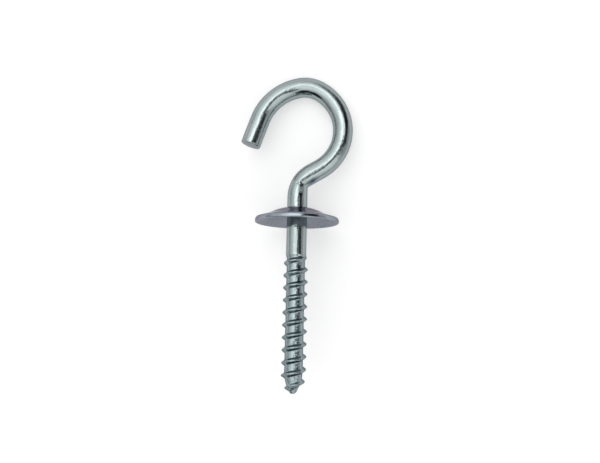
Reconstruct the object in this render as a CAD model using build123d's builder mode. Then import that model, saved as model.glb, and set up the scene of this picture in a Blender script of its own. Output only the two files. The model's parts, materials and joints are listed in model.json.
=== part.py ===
from build123d import *
import os
from math import atan2, cos, degrees, radians, sin, sqrt, tan

# A screw hook for ceilings and timber: one length of steel wire with a wood thread
# rolled on one end and an open hook bent on the other, and a pressed steel collar
# gripped on the plain shank between them. Millimetres and degrees.
# Both pieces are drawn standing, with the shank up +Z, the seat of the collar at
# Z = 0 and the mouth of the hook towards -X. They are then laid down together, as
# the loose hook comes to rest on a bench.

# Wire
wire_d = 4.8
end_chamfer = 0.4

# Hook: the wire leaves the shank sideways, over a square tool that leaves the inside of
# this neck creased, then closes round in three easing arcs
neck_height = 6.35
neck_radius = 6.5
neck_angle = 59.0
neck_run = 2.4
side_radius = 11.15
side_angle = 121.0
crown_radius = 7.1
crown_angle = 40.0
lip_radius = 12.7
lip_angle = 59.0
lip_run = 6.75

# Screw: rolled thread with an open pitch, run out at the shank and drawn to a point
shank_length = 39.5
plain_length = 7.6
step_length = 0.8
core_d = 4.3
thread_d = 5.86
pitch = 2.88
ridge_foot = 1.35
ridge_crest = 0.26
runout_length = 2.6
point_length = 4.4
point_d = 1.6
point_set_back = 0.4
thread_set_back = 0.25
thread_turn = 40.0

# Collar: a round blank pressed to a low dome with a flatter brim
collar_d = 20.0
sheet = 1.1
brim_width = 1.95
flare_width = 1.65
dome_slope = 28.0
brim_slope = 17.0
rim_chamfer = 0.38
bore_fit = 0.04

# The heavier side of the hook rolls down by this much when it lies loose
lying_roll = -3.5

wire_r = wire_d / 2
core_r = core_d / 2
point_r = point_d / 2
collar_r = collar_d / 2
ridge_height = (thread_d - core_d) / 2

os.makedirs("parts", exist_ok=True)


# The line of the wire, from the top of the thread over the neck, and on round to the lip
with BuildLine(Plane.XZ) as neck_line:
    shank = Line((0, -plain_length), (0, neck_height))
    neck = JernArc(shank @ 1, shank % 1, neck_radius, -neck_angle)
    rise = Line(neck @ 1, (neck @ 1) + (neck % 1) * neck_run)

with BuildLine(Plane.XZ) as bend_line:
    side = JernArc(rise @ 1, rise % 1, side_radius, side_angle)
    crown = JernArc(side @ 1, side % 1, crown_radius, crown_angle)
    lip = JernArc(crown @ 1, crown % 1, lip_radius, lip_angle)
    Line(lip @ 1, (lip @ 1) + (lip % 1) * lip_run)


# The levels of the screw, from its point up to the plain shank
screw_end = -shank_length
core_end = screw_end + point_set_back
thread_end = screw_end + thread_set_back
point_top = core_end + point_length
thread_top = -plain_length - step_length / 2
runout_start = thread_top - runout_length
point_slope = degrees(atan2(core_r - point_r, point_length))
runout_slope = degrees(atan2(thread_d / 2 - wire_r, runout_length))


def thread_ridge(bottom, top, radius, slope):
    """One stretch of the thread, swept up a right-hand helix that widens by its slope.

    The section is carried on into the core, as deep as its crest is wide."""
    root = ridge_crest
    half_crest = ridge_crest / 2
    half_root = ridge_foot / 2 + root * (ridge_foot - ridge_crest) / 2 / ridge_height
    with BuildPart() as ridge:
        with BuildLine() as route:
            Helix(
                pitch / cos(radians(slope)),
                top - bottom,
                radius,
                center=(0, 0, bottom),
                cone_angle=slope,
            )
        with BuildSketch(Plane((radius, 0, bottom), x_dir=(1, 0, 0), z_dir=(0, -1, 0))):
            with BuildLine():
                Polyline(
                    (-root, -half_root),
                    (ridge_height, -half_crest),
                    (ridge_height, half_crest),
                    (-root, half_root),
                    close=True,
                )
            make_face()
        sweep(path=route.line, is_frenet=True)
    turned = thread_turn + 360 * (bottom - screw_end) / pitch
    return ridge.part.rotate(Axis.Z, turned)


# Both straight runs of the neck, carried on past their crossing: the wire is pressed
# down to them on the inside of the neck
crossing = plain_length + neck_height + neck_run + neck_radius
with BuildPart() as crossed_wires:
    with BuildSketch(Plane.XY.offset(-plain_length)):
        Circle(wire_r)
    extrude(amount=crossing)
    with BuildSketch(Plane(rise @ 1, z_dir=-(rise % 1))):
        Circle(wire_r)
    extrude(amount=crossing)

# Hook and screw: one wire, standing
with BuildPart() as standing_hook:
    with BuildSketch(Plane.XY.offset(-plain_length)):
        Circle(wire_r)
    sweep(path=neck_line.line)
    add(crossed_wires.part, mode=Mode.INTERSECT)
    with BuildSketch(Plane(rise @ 1, z_dir=rise % 1)):
        Circle(wire_r)
    sweep(path=bend_line.line)
    lip_face = faces().filter_by(GeomType.PLANE).sort_by(Axis.Z)[-1]
    chamfer(lip_face.edges(), end_chamfer)
    with BuildSketch(Plane.XZ):
        with BuildLine():
            Polyline(
                (0, -plain_length),
                (wire_r, -plain_length),
                (core_r, -plain_length - step_length),
                (core_r, point_top),
                (point_r, core_end),
                (0, core_end),
                close=True,
            )
        make_face()
    revolve(axis=Axis.Z)
    add(thread_ridge(point_top, runout_start, core_r, 0))
    add(thread_ridge(runout_start, thread_top, core_r, -runout_slope))
    point_start_r = core_r - (point_top - thread_end) * tan(radians(point_slope))
    add(thread_ridge(thread_end, point_top, point_start_r, point_slope))
    split(bisect_by=Plane.XY.offset(screw_end), keep=Keep.TOP)


# Collar: the middle line of the sheet falls from the axis in a dome, a flare and a
# straight brim, at a height where the chamfered rim touches the seat
dome_sin = sin(radians(dome_slope))
dome_cos = cos(radians(dome_slope))
brim_sin = sin(radians(brim_slope))
brim_cos = cos(radians(brim_slope))
brim_tan = tan(radians(brim_slope))
dome_radius = (collar_r - brim_width - flare_width) / dome_sin
flare_radius = flare_width / (dome_sin - brim_sin)
half_brim = sheet / 2 / brim_cos
rim_middle = half_brim - rim_chamfer * brim_sin
brim_top = rim_middle + brim_width * brim_tan
dome_top = brim_top + flare_radius * (brim_cos - dome_cos) + dome_radius * (1 - dome_cos)

with BuildPart() as standing_collar:
    with BuildSketch(Plane.XZ) as collar_section:
        with BuildLine():
            dome = JernArc((0, dome_top), (1, 0), dome_radius, -dome_slope)
            flare = JernArc(dome @ 1, dome % 1, flare_radius, dome_slope - brim_slope)
            Line(flare @ 1, (flare @ 1) + (flare % 1) * (brim_width / brim_cos + sheet))
        trace(line_width=sheet)
        with Locations((wire_r + bore_fit / 2, -sheet)):
            Rectangle(
                collar_r - wire_r - bore_fit / 2,
                dome_top + 3 * sheet,
                align=(Align.MIN, Align.MIN),
                mode=Mode.INTERSECT,
            )
        chamfer(vertices().sort_by(Axis.X)[-2:], rim_chamfer)
    revolve(axis=Axis.Z)


# Lying loose, the hook rests on the rim of its collar and on the top of its bend.
# The pitch is the fall of the shank towards the bend, and is closed in step by step.
rim_rise = rim_middle + half_brim - rim_chamfer
roll_sin = sin(radians(lying_roll))
roll_cos = cos(radians(lying_roll))
spots = [bend_line.wire().position_at(step / 500) for step in range(501)]
bend_reach = max(spot.Z for spot in spots)
pitch_sin = 0.0
for _ in range(30):
    pitch_cos = sqrt(1 - pitch_sin**2)
    seat_lift = collar_r * pitch_cos + rim_rise * pitch_sin
    falls = [spot.Z * pitch_sin - spot.X * roll_sin * pitch_cos for spot in spots]
    pitch_sin += (seat_lift - wire_r - max(falls)) / bend_reach

side_way = Vector(roll_cos, roll_sin * pitch_sin, roll_sin * pitch_cos)
shank_way = Vector(0, pitch_cos, -pitch_sin)
laid = Plane((0, 0, seat_lift), x_dir=side_way, z_dir=shank_way)
laid_box = (laid.location * Compound([standing_hook.part, standing_collar.part])).bounding_box()
bench = Plane(
    laid.origin - Vector(laid_box.center().X, laid_box.center().Y, 0),
    x_dir=side_way,
    z_dir=shank_way,
)

with BuildPart(bench) as hook:
    add(standing_hook.part)
hook.part.label = "hook"
export_step(hook.part, "parts/hook.step")

with BuildPart(bench) as collar:
    add(standing_collar.part)
collar.part.label = "collar"
export_step(collar.part, "parts/collar.step")
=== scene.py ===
import json
import math
import bmesh
import bpy
from mathutils import Matrix, Vector, kdtree, noise


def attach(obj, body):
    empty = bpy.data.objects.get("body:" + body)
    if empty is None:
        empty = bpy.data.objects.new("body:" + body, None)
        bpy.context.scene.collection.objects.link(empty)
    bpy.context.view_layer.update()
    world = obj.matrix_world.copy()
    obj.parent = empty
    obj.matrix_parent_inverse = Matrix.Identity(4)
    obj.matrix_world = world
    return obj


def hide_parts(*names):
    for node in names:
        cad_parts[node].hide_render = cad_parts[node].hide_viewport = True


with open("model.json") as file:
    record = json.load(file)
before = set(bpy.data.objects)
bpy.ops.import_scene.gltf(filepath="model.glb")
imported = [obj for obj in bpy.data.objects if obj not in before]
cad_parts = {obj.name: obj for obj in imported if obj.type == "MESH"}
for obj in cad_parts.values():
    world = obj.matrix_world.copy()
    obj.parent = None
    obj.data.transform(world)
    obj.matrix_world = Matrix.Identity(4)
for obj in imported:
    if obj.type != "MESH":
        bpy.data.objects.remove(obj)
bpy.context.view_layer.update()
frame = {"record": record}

# How the hook lies
# Each piece is drawn standing, in millimetres: the shank is up Z, the seat of the collar
# is at zero and the mouth of the hook is towards -X. It is then laid on the bench as the
# model lies, on the rim of the collar and the top of the bend.
mounts = {mount["name"]: mount for mount in frame["record"]["mounts"]}
shank_way = -Vector(mounts["screw_thread"]["axis"])
depth_way = Vector(mounts["hook_tip"]["axis"]).cross(shank_way).normalized()
side_way = depth_way.cross(shank_way)
lying = Matrix((side_way, depth_way, shank_way)).transposed()
one_mm = 0.001
seat_spot = Vector(mounts["screw_thread"]["pos_m"])
on_bench = Matrix.LocRotScale(seat_spot, lying.to_quaternion(), Vector((one_mm,) * 3))

# Camera
# A close camera looks down on the hook from the thread's side. The collar sets the scale
# of the picture and its place in it.
picture_width = 600
picture_height = 463
collar_pixel = (296.9, 220.6)
collar_spot = Vector((0, 0, 0.61))
pixels_per_mm = 4.215
camera_distance = 160.0
camera_tilt = math.radians(7.56)
picture_turn = math.radians(-1.3)

focal_pixels = pixels_per_mm * camera_distance
view_back = Vector((0, -math.cos(camera_tilt), -math.sin(camera_tilt)))
level = Vector((1, 0, 0))
upward = view_back.cross(level)
view_right = level * math.cos(picture_turn) - upward * math.sin(picture_turn)
view_up = level * math.sin(picture_turn) + upward * math.cos(picture_turn)
off_right = (collar_pixel[0] - picture_width / 2) / focal_pixels
off_up = (picture_height / 2 - collar_pixel[1]) / focal_pixels
to_camera = view_back - off_right * view_right - off_up * view_up
camera_spot = collar_spot + camera_distance * to_camera

camera = bpy.data.objects.new("camera", bpy.data.cameras.new("camera"))
camera.data.sensor_width = 36.0
camera.data.lens = camera.data.sensor_width * focal_pixels / picture_width
camera.data.clip_start = 0.005
facing = Matrix((view_right, view_up, view_back)).transposed()
camera.matrix_world = Matrix.LocRotScale(
    on_bench @ camera_spot,
    (lying @ facing).to_quaternion(),
    None,
)
bpy.context.scene.collection.objects.link(camera)
bpy.context.scene.camera = camera

# Screw
# The thread is rolled into one end of the steel wire, right-handed and open, with lands
# between its ridges. It runs out at the plain shank, and the point is drawn down and broken
# off ragged. The plain shank is made with it, up to a seam inside the collar.
wire_diameter = 4.8
inside_solid = 0.01
wire_radius = wire_diameter / 2 - inside_solid
core_radius = 2.15
pitch = 2.88
ridge_height = 0.77
ridge_foot = 1.35
ridge_crest = 0.26
ridge_round = 0.09
shank_length = 39.5
seam_height = 3.1
thread_turn = math.radians(40)
thread_turns = 17
turn_steps = 72
thread_top = -8.0
shoulder_low, shoulder_high = -8.4, -7.6
core_levels = (
    # height, radius of the lands
    (-shank_length, 0.75),
    (-39.0, 0.9),
    (-38.3, 1.15),
    (-37.5, 1.68),
    (-36.4, 1.96),
    (-34.7, core_radius),
    (shoulder_low, core_radius),
    (shoulder_high, wire_radius),
)
crest_levels = (
    # height, radius over the ridge
    (-39.4, 1.45),
    (-38.4, 1.98),
    (-37.66, 2.2),
    (-36.94, 2.68),
    (-36.2, 2.87),
    (-35.4, 2.9),
    (-24.0, 2.9),
    (-11.0, 2.83),
    (-9.58, 2.81),
    (-8.14, 2.5),
    (-7.7, wire_radius),
)
point_breaks = (
    # height on the axis, slope in degrees
    (-shank_length, 0),
    (-39.76, -27),
    (-39.85, 42),
)
worn_crest_scale, worn_crest = 0.55, 0.05
worn_land_scale, worn_land = 1.7, 0.026
longest_edge = 0.3
same_spot = 0.002
flat_cut = 0.0001

screw = bmesh.new()
ridge_start = (pitch - ridge_foot) / 2
crest_start = (pitch - ridge_crest) / 2
profile = (
    (0, 0),
    (0, ridge_start),
    (ridge_height, crest_start),
    (ridge_height, pitch - crest_start),
    (0, pitch - ridge_start),
    (0, pitch),
)
lowest = -shank_length - 1.5 * pitch
corners = [screw.verts.new((core_radius + rise, 0, lowest + up)) for rise, up in profile]
for one, two in zip(corners, corners[1:]):
    screw.edges.new((one, two))
bmesh.ops.bevel(
    screw,
    geom=corners[1:-1],
    offset=ridge_round,
    offset_type="OFFSET",
    segments=2,
    profile=0.5,
    affect="VERTICES",
    material=-1,
)
for _ in range(2):
    long_edges = [edge for edge in screw.edges if edge.calc_length() > longest_edge]
    bmesh.ops.subdivide_edges(screw, edges=long_edges, cuts=1)
bmesh.ops.spin(
    screw,
    geom=screw.verts[:] + screw.edges[:],
    cent=(0, 0, 0),
    axis=(0, 0, 1),
    dvec=(0, 0, pitch / turn_steps),
    angle=math.radians(360),
    steps=turn_steps,
    use_merge=False,
    use_normal_flip=False,
    use_duplicate=False,
)
one_turn = screw.verts[:] + screw.edges[:] + screw.faces[:]
for turn in range(1, thread_turns):
    next_turn = bmesh.ops.duplicate(screw, geom=one_turn)["geom"]
    next_verts = [part for part in next_turn if isinstance(part, bmesh.types.BMVert)]
    bmesh.ops.translate(screw, verts=next_verts, vec=(0, 0, pitch * turn))
bmesh.ops.remove_doubles(screw, verts=screw.verts, dist=same_spot)
screwed_in = Matrix.Rotation(thread_turn, 3, "Z")
bmesh.ops.rotate(screw, verts=screw.verts, cent=(0, 0, 0), matrix=screwed_in)


def radius_at(levels, height):
    """The radius at a height, between the two levels next to it."""
    height = min(max(height, levels[0][0]), levels[-1][0])
    for (low, low_radius), (high, high_radius) in zip(levels, levels[1:]):
        if height <= high:
            return low_radius + (high_radius - low_radius) * (height - low) / (high - low)


def cut_through(shape, height, slope=0.0, keep_above=None):
    """A flat cut across the wire. One side of it goes if keep_above is set."""
    cut = bmesh.ops.bisect_plane(
        shape,
        geom=shape.verts[:] + shape.edges[:] + shape.faces[:],
        dist=flat_cut,
        plane_co=(0, 0, height),
        plane_no=(-math.sin(slope), 0, math.cos(slope)),
        clear_outer=keep_above is False,
        clear_inner=keep_above is True,
    )
    return [part for part in cut["geom_cut"] if isinstance(part, bmesh.types.BMEdge)]


for height in (shoulder_low, shoulder_high):
    cut_through(screw, height)
for vert in screw.verts:
    rise = (math.hypot(vert.co.x, vert.co.y) - core_radius) / ridge_height
    core = radius_at(core_levels, vert.co.z)
    crest = radius_at(crest_levels, vert.co.z)
    radius = core + (crest - core) * rise
    if vert.co.z < thread_top:
        radius += noise.noise(vert.co * worn_crest_scale) * worn_crest * rise
        radius += noise.noise(vert.co * worn_land_scale) * worn_land
    flat = Vector((vert.co.x, vert.co.y, 0)).normalized() * radius
    vert.co.x, vert.co.y = flat.x, flat.y
cut_through(screw, seam_height, keep_above=False)
for height, slope in point_breaks:
    broken_edges = cut_through(screw, height, slope=math.radians(slope), keep_above=True)
    bmesh.ops.edgeloop_fill(screw, edges=broken_edges)

# Neck and hook
# The same wire, bent cold: sideways over a square tool, which leaves the inside of the neck
# creased, then round to the open lip. Its end is sheared and its edge tumbled round.
wire_sides = 96
seam_gap = 0.2
wire_start = seam_height + seam_gap
straight_step = 0.45
neck_height = 6.35
neck_radius = 6.5
neck_angle = 59.0
side_radius = 11.15
course = (
    # radius of the bend, turn to the left, steps of the bend, straight run after it
    (0, 0, 0, neck_height - wire_start),
    (neck_radius, -neck_angle, 24, 2.4),
    (side_radius, 121.0, 48, 0),
    (7.1, 40.0, 16, 0),
    (12.7, 59.0, 24, 6.7),
)
lip_round = 0.42
deep_press = 0.1
press_halvings = 14
crease_smoothings = 4

wire = bmesh.new()
end = bmesh.ops.create_circle(wire, segments=wire_sides, radius=wire_radius)["verts"]
bmesh.ops.translate(wire, verts=end, vec=(0, 0, wire_start))
spot = Vector((0, wire_start))
heading = math.radians(90)
run = wire_start
rings = []


def edges_round(end):
    """The edges that join the points of one ring, each of them once."""
    joining = (edge for vert in end for edge in vert.link_edges if edge.other_vert(vert) in end)
    return list(dict.fromkeys(joining))


def next_ring(end):
    """One more ring of the wire, on top of the last one."""
    grown = bmesh.ops.extrude_edge_only(wire, edges=edges_round(end))["geom"]
    return [part for part in grown if isinstance(part, bmesh.types.BMVert)]


for radius, turn, bend_steps, straight in course:
    if radius == side_radius:
        neck_rings = len(rings)
    if turn:
        side = math.copysign(radius, turn)
        centre = spot + side * Vector((-math.sin(heading), math.cos(heading)))
        for _ in range(bend_steps):
            end = next_ring(end)
            turned = Matrix.Rotation(-math.radians(turn / bend_steps), 3, "Y")
            bmesh.ops.rotate(wire, verts=end, cent=(centre.x, 0, centre.y), matrix=turned)
            heading += math.radians(turn / bend_steps)
            spot = centre + side * Vector((math.sin(heading), -math.cos(heading)))
            run += radius * math.radians(abs(turn) / bend_steps)
            rings.append((spot.copy(), heading, run, end))
    if straight:
        run_steps = max(2, round(straight / straight_step))
        way = Vector((math.cos(heading), math.sin(heading))) * straight / run_steps
        for _ in range(run_steps):
            end = next_ring(end)
            bmesh.ops.translate(wire, verts=end, vec=(way.x, 0, way.y))
            spot = spot + way
            run += straight / run_steps
            rings.append((spot.copy(), heading, run, end))

lip_edges = edges_round(end)
bmesh.ops.edgeloop_fill(wire, edges=lip_edges)

# The inside of the neck is pressed down to its two straight runs, which meet in a crease:
# a point outside both is drawn in to the middle of the wire until it meets the nearer one
neck_centre = Vector((neck_radius, 0, neck_height))
neck_turn = math.radians(neck_angle)
rise_way = Vector((math.sin(neck_turn), 0, math.cos(neck_turn)))
rise_start = neck_centre + neck_radius * Vector((-rise_way.z, 0, rise_way.x))


def outside_runs(spot):
    """How far a point is outside the nearer straight run of the neck."""
    from_shank = math.hypot(spot.x, spot.y)
    from_rise = (spot - rise_start).cross(rise_way).length
    return min(from_shank, from_rise) - wire_radius


creased = []
for middle, _, _, verts in rings[:neck_rings]:
    middle = Vector((middle.x, 0, middle.y))
    for vert in verts:
        if outside_runs(vert.co) > 0:
            if outside_runs(vert.co) > deep_press:
                creased.append(vert)
            inside, outside = middle, vert.co.copy()
            for _ in range(press_halvings):
                between = (inside + outside) / 2
                if outside_runs(between) > 0:
                    outside = between
                else:
                    inside = between
            vert.co = inside
for _ in range(crease_smoothings):
    bmesh.ops.smooth_vert(
        wire,
        verts=creased,
        factor=0.5,
        use_axis_x=True,
        use_axis_y=True,
        use_axis_z=True,
    )

bmesh.ops.bevel(
    wire,
    geom=lip_edges,
    offset=lip_round,
    offset_type="OFFSET",
    segments=6,
    profile=0.5,
    affect="EDGES",
    material=-1,
)

# The screw joins the hook in the hole of the collar, and the two are one wire
screw_mesh = bpy.data.meshes.new("screw")
screw.to_mesh(screw_mesh)
screw.free()
wire.from_mesh(screw_mesh)
bmesh.ops.bridge_loops(wire, edges=[edge for edge in wire.edges if edge.is_boundary])

# Patterns on the wire follow it round its bends, so each point keeps the place that it had
# in the straight wire, in millimetres
drawn = wire.verts.layers.float_vector.new("as_drawn")
finder = kdtree.KDTree(len(rings))
for index, (middle, _, _, _) in enumerate(rings):
    finder.insert((middle.x, 0, middle.y), index)
finder.balance()
for vert in wire.verts:
    vert[drawn] = vert.co
    if vert.co.z > neck_height or vert.co.x < -2 * wire_radius:
        _, index, _ = finder.find(vert.co)
        middle, ring_heading, ring_run, _ = rings[index]
        away = Vector((vert.co.x - middle.x, vert.co.z - middle.y))
        across = away.dot(Vector((math.sin(ring_heading), -math.cos(ring_heading))))
        along = away.dot(Vector((math.cos(ring_heading), math.sin(ring_heading))))
        vert[drawn] = Vector((across, vert.co.y, ring_run + along))


def piece_from(shape, name):
    """A bmesh, drawn standing, becomes a smooth piece that lies on the bench."""
    bmesh.ops.transform(shape, matrix=on_bench, verts=shape.verts)
    bmesh.ops.recalc_face_normals(shape, faces=shape.faces)
    mesh = bpy.data.meshes.new(name)
    shape.to_mesh(mesh)
    shape.free()
    mesh.shade_smooth()
    piece = bpy.data.objects.new(name, mesh)
    bpy.context.scene.collection.objects.link(piece)
    return piece


def linear(code):
    """An sRGB hex colour in the linear values that a shader takes."""
    parts = [int(code[start:start + 2], 16) / 255 for start in (1, 3, 5)]
    parts = [part / 12.92 if part <= 0.04045 else ((part + 0.055) / 1.055) ** 2.4 for part in parts]
    return (*parts, 1)


def add_node(owner, kind, inputs=None, **settings):
    """Adds a node with its settings. An input is a value, or the output that feeds it."""
    node = owner.node_tree.nodes.new(kind)
    for name, value in settings.items():
        setattr(node, name, value)
    for name, value in (inputs or {}).items():
        if isinstance(value, bpy.types.NodeSocket):
            owner.node_tree.links.new(value, node.inputs[name])
        else:
            node.inputs[name].default_value = value
    return node


# Drawn wire under bright zinc with a clear blue passivation: a mirror that is a little
# uneven, like orange peel, with lines along the wire and duller clouds. Seen at a shallow
# angle it goes a darker, purplish grey. The dies leave the thread more uneven, and darker at
# its edges. The lines of a real die are finer, and are drawn as coarse as they need to show.
# Sizes are in mm, and the depths of bumps in metres.
peel_size = 0.62
line_size = 0.35
line_stretch = 0.12
cloud_size = 2.4
peel_bump = 0.00003
line_bump = 0.00003
thread_peel = 3.2
shank_finish_above = -7.0
thread_finish_below = -8.6

zinc_wire = bpy.data.materials.new("bright_zinc_on_drawn_wire")
zinc_wire.use_nodes = True
zinc_wire.node_tree.nodes.clear()
place = add_node(zinc_wire, "ShaderNodeAttribute", attribute_name="as_drawn").outputs["Vector"]
height = add_node(zinc_wire, "ShaderNodeSeparateXYZ", {0: place}).outputs["Z"]
threaded = add_node(
    zinc_wire,
    "ShaderNodeMapRange",
    {
        "Value": height,
        "From Min": shank_finish_above,
        "From Max": thread_finish_below,
        "To Min": 0.0,
        "To Max": 1.0,
    },
).outputs[0]
peel = add_node(
    zinc_wire,
    "ShaderNodeTexNoise",
    {"Vector": place, "Scale": 1 / peel_size, "Detail": 3.0},
)
lengthwise = add_node(
    zinc_wire,
    "ShaderNodeMapping",
    {"Vector": place, "Scale": (1, 1, line_stretch)},
)
lines = add_node(
    zinc_wire,
    "ShaderNodeTexNoise",
    {"Vector": lengthwise.outputs[0], "Scale": 1 / line_size, "Detail": 2.0},
)
clouds = add_node(
    zinc_wire,
    "ShaderNodeTexNoise",
    {"Vector": place, "Scale": 1 / cloud_size, "Detail": 4.0},
)
rougher = add_node(
    zinc_wire,
    "ShaderNodeMapRange",
    {
        "Value": threaded,
        "From Min": 0.0,
        "From Max": 1.0,
        "To Min": 1.0,
        "To Max": thread_peel,
    },
).outputs[0]
peel_depth = add_node(
    zinc_wire,
    "ShaderNodeMath",
    {0: peel.outputs[0], 1: rougher},
    operation="MULTIPLY",
)
uneven = add_node(
    zinc_wire,
    "ShaderNodeBump",
    {"Height": peel_depth.outputs[0], "Distance": peel_bump, "Strength": 1.0},
)
scored = add_node(
    zinc_wire,
    "ShaderNodeBump",
    {
        "Height": lines.outputs[0],
        "Distance": line_bump,
        "Strength": 1.0,
        "Normal": uneven.outputs[0],
    },
)

# Marks: the bite of the bending tool on the neck, with dark spots on it that are painted dark
# reflections, a dark blue patch beside the crease that is a painted dark reflection, a dull rub
# on the side of the bend, a dent in one land of the thread with painted shade inside it, and
# milky plating inside the collar
depths, stains_and_painted_dark, rubs = 0.0, 0.0, 0.0
for centre, half_sizes, depth, stain_and_painted_dark, rub in (
    # place in the straight wire, half sizes and depth, in mm, how much painted dark and stain it
    # gets, and how dull it is
    ((-0.6, -2.3, 9.1), (0.7, 1.0, 0.4), 0.14, 0.0, 0.0),
    # the dark spots of the bite, in this row and two rows down, are painted dark reflections
    ((0.45, -2.28, 9.0), (0.4, 1.0, 0.6), 0.05, 0.9, 0.0),
    ((0.75, -2.2, 8.0), (1.2, 1.0, 1.5), 0.0, 0.1, 0.6),
    ((0.7, -2.2, 6.7), (0.6, 1.0, 0.6), 0.04, 0.6, 0.0),
    # a dark blue patch beside the crease: a painted dark reflection
    ((1.9, -1.5, 12.0), (1.0, 1.1, 2.9), 0.06, 1.0, 0.2),
    ((1.2, -2.05, 22.3), (1.0, 1.0, 2.6), 0.03, 0.1, 0.3),
    # a dent in a land, darkened inside it with painted shade
    ((0.1, -2.14, -28.1), (0.5, 1.0, 0.6), 0.12, 0.3, 0.0),
    ((0, 0, 0.9), (4.8, 4.8, 3.2), 0.0, 0.0, 0.3),
):
    away = place
    for operation, other in (("SUBTRACT", centre), ("DIVIDE", half_sizes)):
        away = add_node(
            zinc_wire,
            "ShaderNodeVectorMath",
            {0: away, 1: other},
            operation=operation,
        ).outputs[0]
    distance = add_node(zinc_wire, "ShaderNodeVectorMath", {0: away}, operation="LENGTH")
    within = add_node(
        zinc_wire,
        "ShaderNodeMapRange",
        {
            "Value": distance.outputs["Value"],
            "From Min": 0.0,
            "From Max": 1.0,
            "To Min": 1.0,
            "To Max": 0.0,
        },
        interpolation_type="SMOOTHSTEP",
    ).outputs[0]
    depths, stains_and_painted_dark, rubs = (
        add_node(
            zinc_wire,
            "ShaderNodeMath",
            {0: within, 1: more, 2: so_far},
            operation="MULTIPLY_ADD",
        ).outputs[0]
        for more, so_far in ((-depth, depths), (stain_and_painted_dark, stains_and_painted_dark), (rub, rubs))
    )
struck = add_node(
    zinc_wire,
    "ShaderNodeBump",
    {"Height": depths, "Distance": one_mm, "Strength": 1.0, "Normal": scored.outputs[0]},
)
plating = add_node(
    zinc_wire,
    "ShaderNodeMix",
    {"Factor": clouds.outputs[0], "A": linear("#8B9699"), "B": linear("#A0AAA7")},
    data_type="RGBA",
)
rolled = add_node(
    zinc_wire,
    "ShaderNodeMix",
    {"Factor": threaded, "A": plating.outputs["Result"], "B": linear("#8E9B9E")},
    data_type="RGBA",
)
# The dark blue that the marks mix in is painted: painted dark reflections on the bite of the neck
# and beside the crease, and painted shade in the dent of the thread
stained_and_painted_dark = add_node(
    zinc_wire,
    "ShaderNodeMix",
    {"Factor": stains_and_painted_dark, "A": rolled.outputs["Result"], "B": linear("#415068")},
    data_type="RGBA",
)
edge_shade = add_node(
    zinc_wire,
    "ShaderNodeMix",
    {"Factor": threaded, "A": linear("#C3C1CA"), "B": linear("#8E9098")},
    data_type="RGBA",
)
polish = add_node(
    zinc_wire,
    "ShaderNodeMapRange",
    {
        "Value": clouds.outputs[0],
        "From Min": 0.35,
        "From Max": 0.7,
        "To Min": 0.06,
        "To Max": 0.02,
    },
)
dulled = add_node(
    zinc_wire,
    "ShaderNodeMath",
    {0: rubs, 1: polish.outputs[0]},
    operation="ADD",
)
metal = add_node(
    zinc_wire,
    "ShaderNodeBsdfPrincipled",
    {
        "Base Color": stained_and_painted_dark.outputs["Result"],
        "Metallic": 1.0,
        "Roughness": dulled.outputs[0],
        "Specular Tint": edge_shade.outputs["Result"],
        "Normal": struck.outputs[0],
    },
)
add_node(zinc_wire, "ShaderNodeOutputMaterial", {"Surface": metal.outputs[0]})

hook_wire = piece_from(wire, "hook_wire")
hook_wire.data.materials.append(zinc_wire)
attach(hook_wire, "root")
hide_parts("hook")

# Collar
# A round blank of steel sheet, pressed to a low dome with a flatter brim, punched and
# gripped on the plain shank. Its edge is sheared and tumbled round.
collar_radius = 9.97
bore_radius = 2.42
sheet = 1.1
dome_top = 3.34
dome_radius = 13.632
dome_slope = math.radians(28)
flare_radius = 9.317
brim_slope = math.radians(17)
rim_round = 0.42
bore_round = 0.12
collar_steps = 160
arc_step = 1.5
brim_step = 0.8
brim_steps = 4
near_edge = 0.001
sharp_edge = 0.5

collar = bmesh.new()
edge_of_sheet = [collar.verts.new((0, 0, dome_top + half)) for half in (-sheet / 2, sheet / 2)]
strip_end = edge_of_sheet + [collar.edges.new(edge_of_sheet)]
dome_centre = dome_top - dome_radius
flare_centre = Vector((math.sin(dome_slope), math.cos(dome_slope))) * (dome_radius + flare_radius)
for centre, angle in (
    (Vector((0, dome_centre)), dome_slope),
    (flare_centre + Vector((0, dome_centre)), brim_slope - dome_slope),
):
    strip_end = bmesh.ops.spin(
        collar,
        geom=strip_end,
        cent=(centre.x, 0, centre.y),
        axis=(0, 1, 0),
        dvec=(0, 0, 0),
        angle=angle,
        steps=max(6, round(abs(math.degrees(angle)) / arc_step)),
        use_merge=False,
        use_normal_flip=False,
        use_duplicate=False,
    )["geom_last"]
brim_way = Vector((math.cos(brim_slope), 0, -math.sin(brim_slope)))
end_edges = [part for part in strip_end if isinstance(part, bmesh.types.BMEdge)]
for _ in range(brim_steps):
    grown = bmesh.ops.extrude_edge_only(collar, edges=end_edges)["geom"]
    verts = [part for part in grown if isinstance(part, bmesh.types.BMVert)]
    bmesh.ops.translate(collar, verts=verts, vec=brim_way * brim_step)
    edges = [part for part in grown if isinstance(part, bmesh.types.BMEdge)]
    end_edges = [edge for edge in edges if all(vert in verts for vert in edge.verts)]
for across, clear_inner in ((bore_radius, True), (collar_radius, False)):
    bmesh.ops.bisect_plane(
        collar,
        geom=collar.verts[:] + collar.edges[:] + collar.faces[:],
        dist=flat_cut,
        plane_co=(across, 0, 0),
        plane_no=(1, 0, 0),
        clear_inner=clear_inner,
        clear_outer=not clear_inner,
    )
inner_edges = [edge for edge in collar.edges if len(edge.link_faces) == 2]
bmesh.ops.delete(collar, geom=collar.faces[:], context="FACES_ONLY")
bmesh.ops.delete(collar, geom=inner_edges, context="EDGES")
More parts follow.
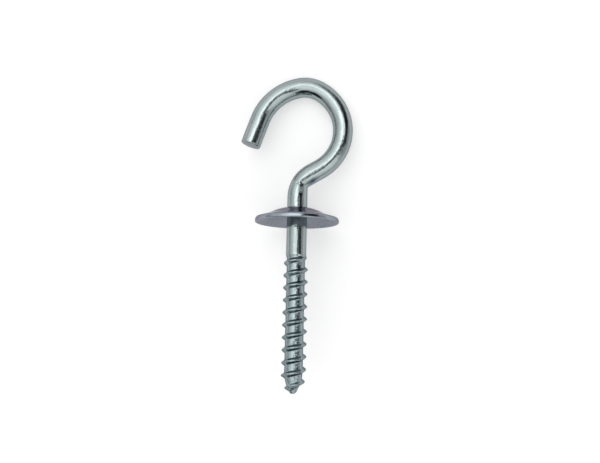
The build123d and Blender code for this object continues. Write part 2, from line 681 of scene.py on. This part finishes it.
bmesh.ops.spin(
    collar,
    geom=collar.verts[:] + collar.edges[:],
    cent=(0, 0, 0),
    axis=(0, 0, 1),
    dvec=(0, 0, 0),
    angle=math.radians(360),
    steps=collar_steps,
    use_merge=True,
    use_normal_flip=False,
    use_duplicate=False,
)
bmesh.ops.remove_doubles(collar, verts=collar.verts, dist=same_spot)
bmesh.ops.recalc_face_normals(collar, faces=collar.faces)
for edge_radius, round_off, segments in (
    (collar_radius, rim_round, 6),
    (bore_radius, bore_round, 3),
):
    cut_edges = [
        edge for edge in collar.edges
        if all(abs(vert.co.xy.length - edge_radius) < near_edge for vert in edge.verts)
        and abs(edge.verts[0].co.z - edge.verts[1].co.z) < near_edge
        and edge.calc_face_angle(0) > sharp_edge
    ]
    bmesh.ops.bevel(
        collar,
        geom=cut_edges,
        offset=round_off,
        offset_type="OFFSET",
        segments=segments,
        profile=0.5,
        affect="EDGES",
        material=-1,
    )
drawn = collar.verts.layers.float_vector.new("as_drawn")
for vert in collar.verts:
    vert[drawn] = vert.co

# Pressed sheet under the same zinc: smooth, but in slow waves from the press, with a fine
# grain. Its hollow underside is dull and milky, because the bath brightens it less.
# Sizes are in mm, and the depths of bumps in metres.
wave_size = 2.6
grain_size = 0.5
wave_bump = 0.00016
grain_bump = 0.00003
zinc_sheets = []
for name, metallic, polish_low, polish_high, shade_low, shade_high, edge_shade in (
    ("zinc_on_pressed_sheet", 1.0, 0.03, 0.08, "#838A93", "#989FA6", "#BCB4C0"),
    ("dull_zinc_inside_the_collar", 0.6, 0.25, 0.4, "#8B929C", "#999FA8", "#A8A4AE"),
):
    zinc_sheet = bpy.data.materials.new(name)
    zinc_sheet.use_nodes = True
    zinc_sheet.node_tree.nodes.clear()
    place = add_node(zinc_sheet, "ShaderNodeAttribute", attribute_name="as_drawn").outputs["Vector"]
    waves = add_node(
        zinc_sheet,
        "ShaderNodeTexNoise",
        {"Vector": place, "Scale": 1 / wave_size, "Detail": 2.0},
    )
    grain = add_node(
        zinc_sheet,
        "ShaderNodeTexNoise",
        {"Vector": place, "Scale": 1 / grain_size, "Detail": 3.0},
    )
    waved = add_node(
        zinc_sheet,
        "ShaderNodeBump",
        {"Height": waves.outputs[0], "Distance": wave_bump, "Strength": 1.0},
    )
    grained = add_node(
        zinc_sheet,
        "ShaderNodeBump",
        {
            "Height": grain.outputs[0],
            "Distance": grain_bump,
            "Strength": 1.0,
            "Normal": waved.outputs[0],
        },
    )
    plating = add_node(
        zinc_sheet,
        "ShaderNodeMix",
        {"Factor": waves.outputs[0], "A": linear(shade_low), "B": linear(shade_high)},
        data_type="RGBA",
    )
    polish = add_node(
        zinc_sheet,
        "ShaderNodeMapRange",
        {
            "Value": grain.outputs[0],
            "From Min": 0.3,
            "From Max": 0.7,
            "To Min": polish_low,
            "To Max": polish_high,
        },
    )
    metal = add_node(
        zinc_sheet,
        "ShaderNodeBsdfPrincipled",
        {
            "Base Color": plating.outputs["Result"],
            "Metallic": metallic,
            "Roughness": polish.outputs[0],
            "Specular Tint": linear(edge_shade),
            "Normal": grained.outputs[0],
        },
    )
    add_node(zinc_sheet, "ShaderNodeOutputMaterial", {"Surface": metal.outputs[0]})
    zinc_sheets.append(zinc_sheet)
for face in collar.faces:
    looks_down = face.normal.z < -0.5
    below_sheet = face.calc_center_median().z < dome_top - sheet / 4
    face.material_index = int(looks_down and below_sheet)

hook_collar = piece_from(collar, "hook_collar")
for zinc_sheet in zinc_sheets:
    hook_collar.data.materials.append(zinc_sheet)
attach(hook_collar, "root")
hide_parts("collar")

# Bench
# A plain pale bench top. It stays near white to the camera and in the metal, and keeps the
# soft shadow of the hook.
bench_half = 2.0
bench_glow = 0.42

bench_shape = bmesh.new()
bmesh.ops.create_grid(bench_shape, x_segments=1, y_segments=1, size=bench_half)
bench_mesh = bpy.data.meshes.new("bench_top")
bench_shape.to_mesh(bench_mesh)
bench_shape.free()
bench_top = bpy.data.objects.new("bench_top", bench_mesh)
bpy.context.scene.collection.objects.link(bench_top)

pale_bench = bpy.data.materials.new("pale_bench")
pale_bench.use_nodes = True
pale_bench.node_tree.nodes.clear()
cover = add_node(pale_bench, "ShaderNodeBsdfDiffuse", {"Color": linear("#CFCFCF")})
ray = add_node(pale_bench, "ShaderNodeLightPath")
seen = add_node(
    pale_bench,
    "ShaderNodeMath",
    {0: ray.outputs["Is Camera Ray"], 1: ray.outputs["Is Glossy Ray"]},
    operation="MAXIMUM",
)
glow = add_node(
    pale_bench,
    "ShaderNodeMath",
    {0: seen.outputs[0], 1: bench_glow},
    operation="MULTIPLY",
)
lift = add_node(pale_bench, "ShaderNodeEmission", {"Strength": glow.outputs[0]})
lifted = add_node(
    pale_bench,
    "ShaderNodeAddShader",
    {0: cover.outputs[0], 1: lift.outputs[0]},
)
add_node(pale_bench, "ShaderNodeOutputMaterial", {"Surface": lifted.outputs[0]})
bench_mesh.materials.append(pale_bench)

# Studio light
# A grey studio, darker behind the camera, with soft boxes, and dark flags that draw the black
# streaks along the wire. Each is placed by its turn round the line from the hook to the camera
# and its angle off that line, and sized by the sines of its half width and half length.
soft_boxes = (
    # strength, turn, angle off the line, roll, half width, half length, softness
    (1.32, 174, 6, -39, 0.59, 0.55, 0.4),
    (0.75, 86, 22.5, 2, 0.09, 0.43, 0.03),
    (0.42, 122, 44, 21, 0.42, 0.36, 0.19),
    (0.68, 325, 49, -19, 0.36, 0.31, 0.21),
)
dark_flags = (
    # share of the light that it holds back, and then as above
    (0.85, 39, 49, 49, 0.43, 0.32, 0.07),
    (0.97, 255, 61.5, 101, 0.56, 0.24, 0.05),
    (0.85, 352, 15, 12.5, 0.085, 0.39, 0.03),
    (0.48, 206, 77.5, 12, 0.175, 0.88, 0.17),
    (0.65, 8, 49, 57, 0.11, 0.27, 0.12),
    (0.72, 36, 51, -5, 0.19, 0.13, 0.03),
)
room_light = 0.78
# how much lighter the room gets to the right, up, and towards the camera
room_slopes = (-0.107, 0.08, -0.634)
least_light = 0.1
brightness = 1.2

sky = bpy.data.worlds.new("studio")
sky.use_nodes = True
sky.node_tree.nodes.clear()
bpy.context.scene.world = sky
bpy.context.scene.view_settings.view_transform = "Standard"
looks_right = lying @ level
looks_up = lying @ upward
looks_back = lying @ view_back
way_out = add_node(sky, "ShaderNodeTexCoord").outputs["Generated"]


def result_of(operation, one, other):
    """Two values of the sky, brought together."""
    return add_node(sky, "ShaderNodeMath", {0: one, 1: other}, operation=operation).outputs[0]


def share_along(way):
    """How far a direction of the sky points along a way, from -1 to 1."""
    return add_node(
        sky,
        "ShaderNodeVectorMath",
        {0: way_out, 1: way},
        operation="DOT_PRODUCT",
    ).outputs["Value"]


def patch_of_sky(turn, off_axis, roll, half_width, half_length, softness):
    """A soft-edged rectangle on the sky: 1 inside it and 0 outside."""
    turn, off_axis, roll = (math.radians(angle) for angle in (turn, off_axis, roll))
    outward = looks_right * math.cos(turn) + looks_up * math.sin(turn)
    middle = outward * math.sin(off_axis) + looks_back * math.cos(off_axis)
    one_side = outward * math.cos(off_axis) - looks_back * math.sin(off_axis)
    other_side = middle.cross(one_side)
    mask = result_of("GREATER_THAN", share_along(middle), 0.0)
    for way, half in (
        (one_side * math.cos(roll) + other_side * math.sin(roll), half_width),
        (other_side * math.cos(roll) - one_side * math.sin(roll), half_length),
    ):
        edge = add_node(
            sky,
            "ShaderNodeMapRange",
            {
                "Value": result_of("ABSOLUTE", share_along(way), 0.0),
                "From Min": half - softness,
                "From Max": half + softness,
                "To Min": 1.0,
                "To Max": 0.0,
            },
            interpolation_type="SMOOTHSTEP",
        )
        mask = result_of("MULTIPLY", mask, edge.outputs[0])
    return mask


light = room_light
for way, slope in zip((looks_right, looks_up, looks_back), room_slopes):
    light = result_of("ADD", result_of("MULTIPLY", share_along(way), slope), light)
light = result_of("MAXIMUM", light, least_light)
for strength, *shape in soft_boxes:
    light = result_of("ADD", result_of("MULTIPLY", patch_of_sky(*shape), strength), light)
for held_back, *shape in dark_flags:
    flag = result_of("MULTIPLY", patch_of_sky(*shape), held_back)
    light = result_of("MULTIPLY", result_of("SUBTRACT", 1.0, flag), light)
light = result_of("MULTIPLY", light, brightness)
ray = add_node(sky, "ShaderNodeLightPath")
white = linear("#FFFFFF")
studio = add_node(sky, "ShaderNodeBackground", {"Color": white, "Strength": light})
plain = add_node(sky, "ShaderNodeBackground", {"Color": white, "Strength": 1.0})
shown = add_node(
    sky,
    "ShaderNodeMixShader",
    {0: ray.outputs["Is Camera Ray"], 1: studio.outputs[0], 2: plain.outputs[0]},
)
add_node(sky, "ShaderNodeOutputWorld", {"Surface": shown.outputs[0]})
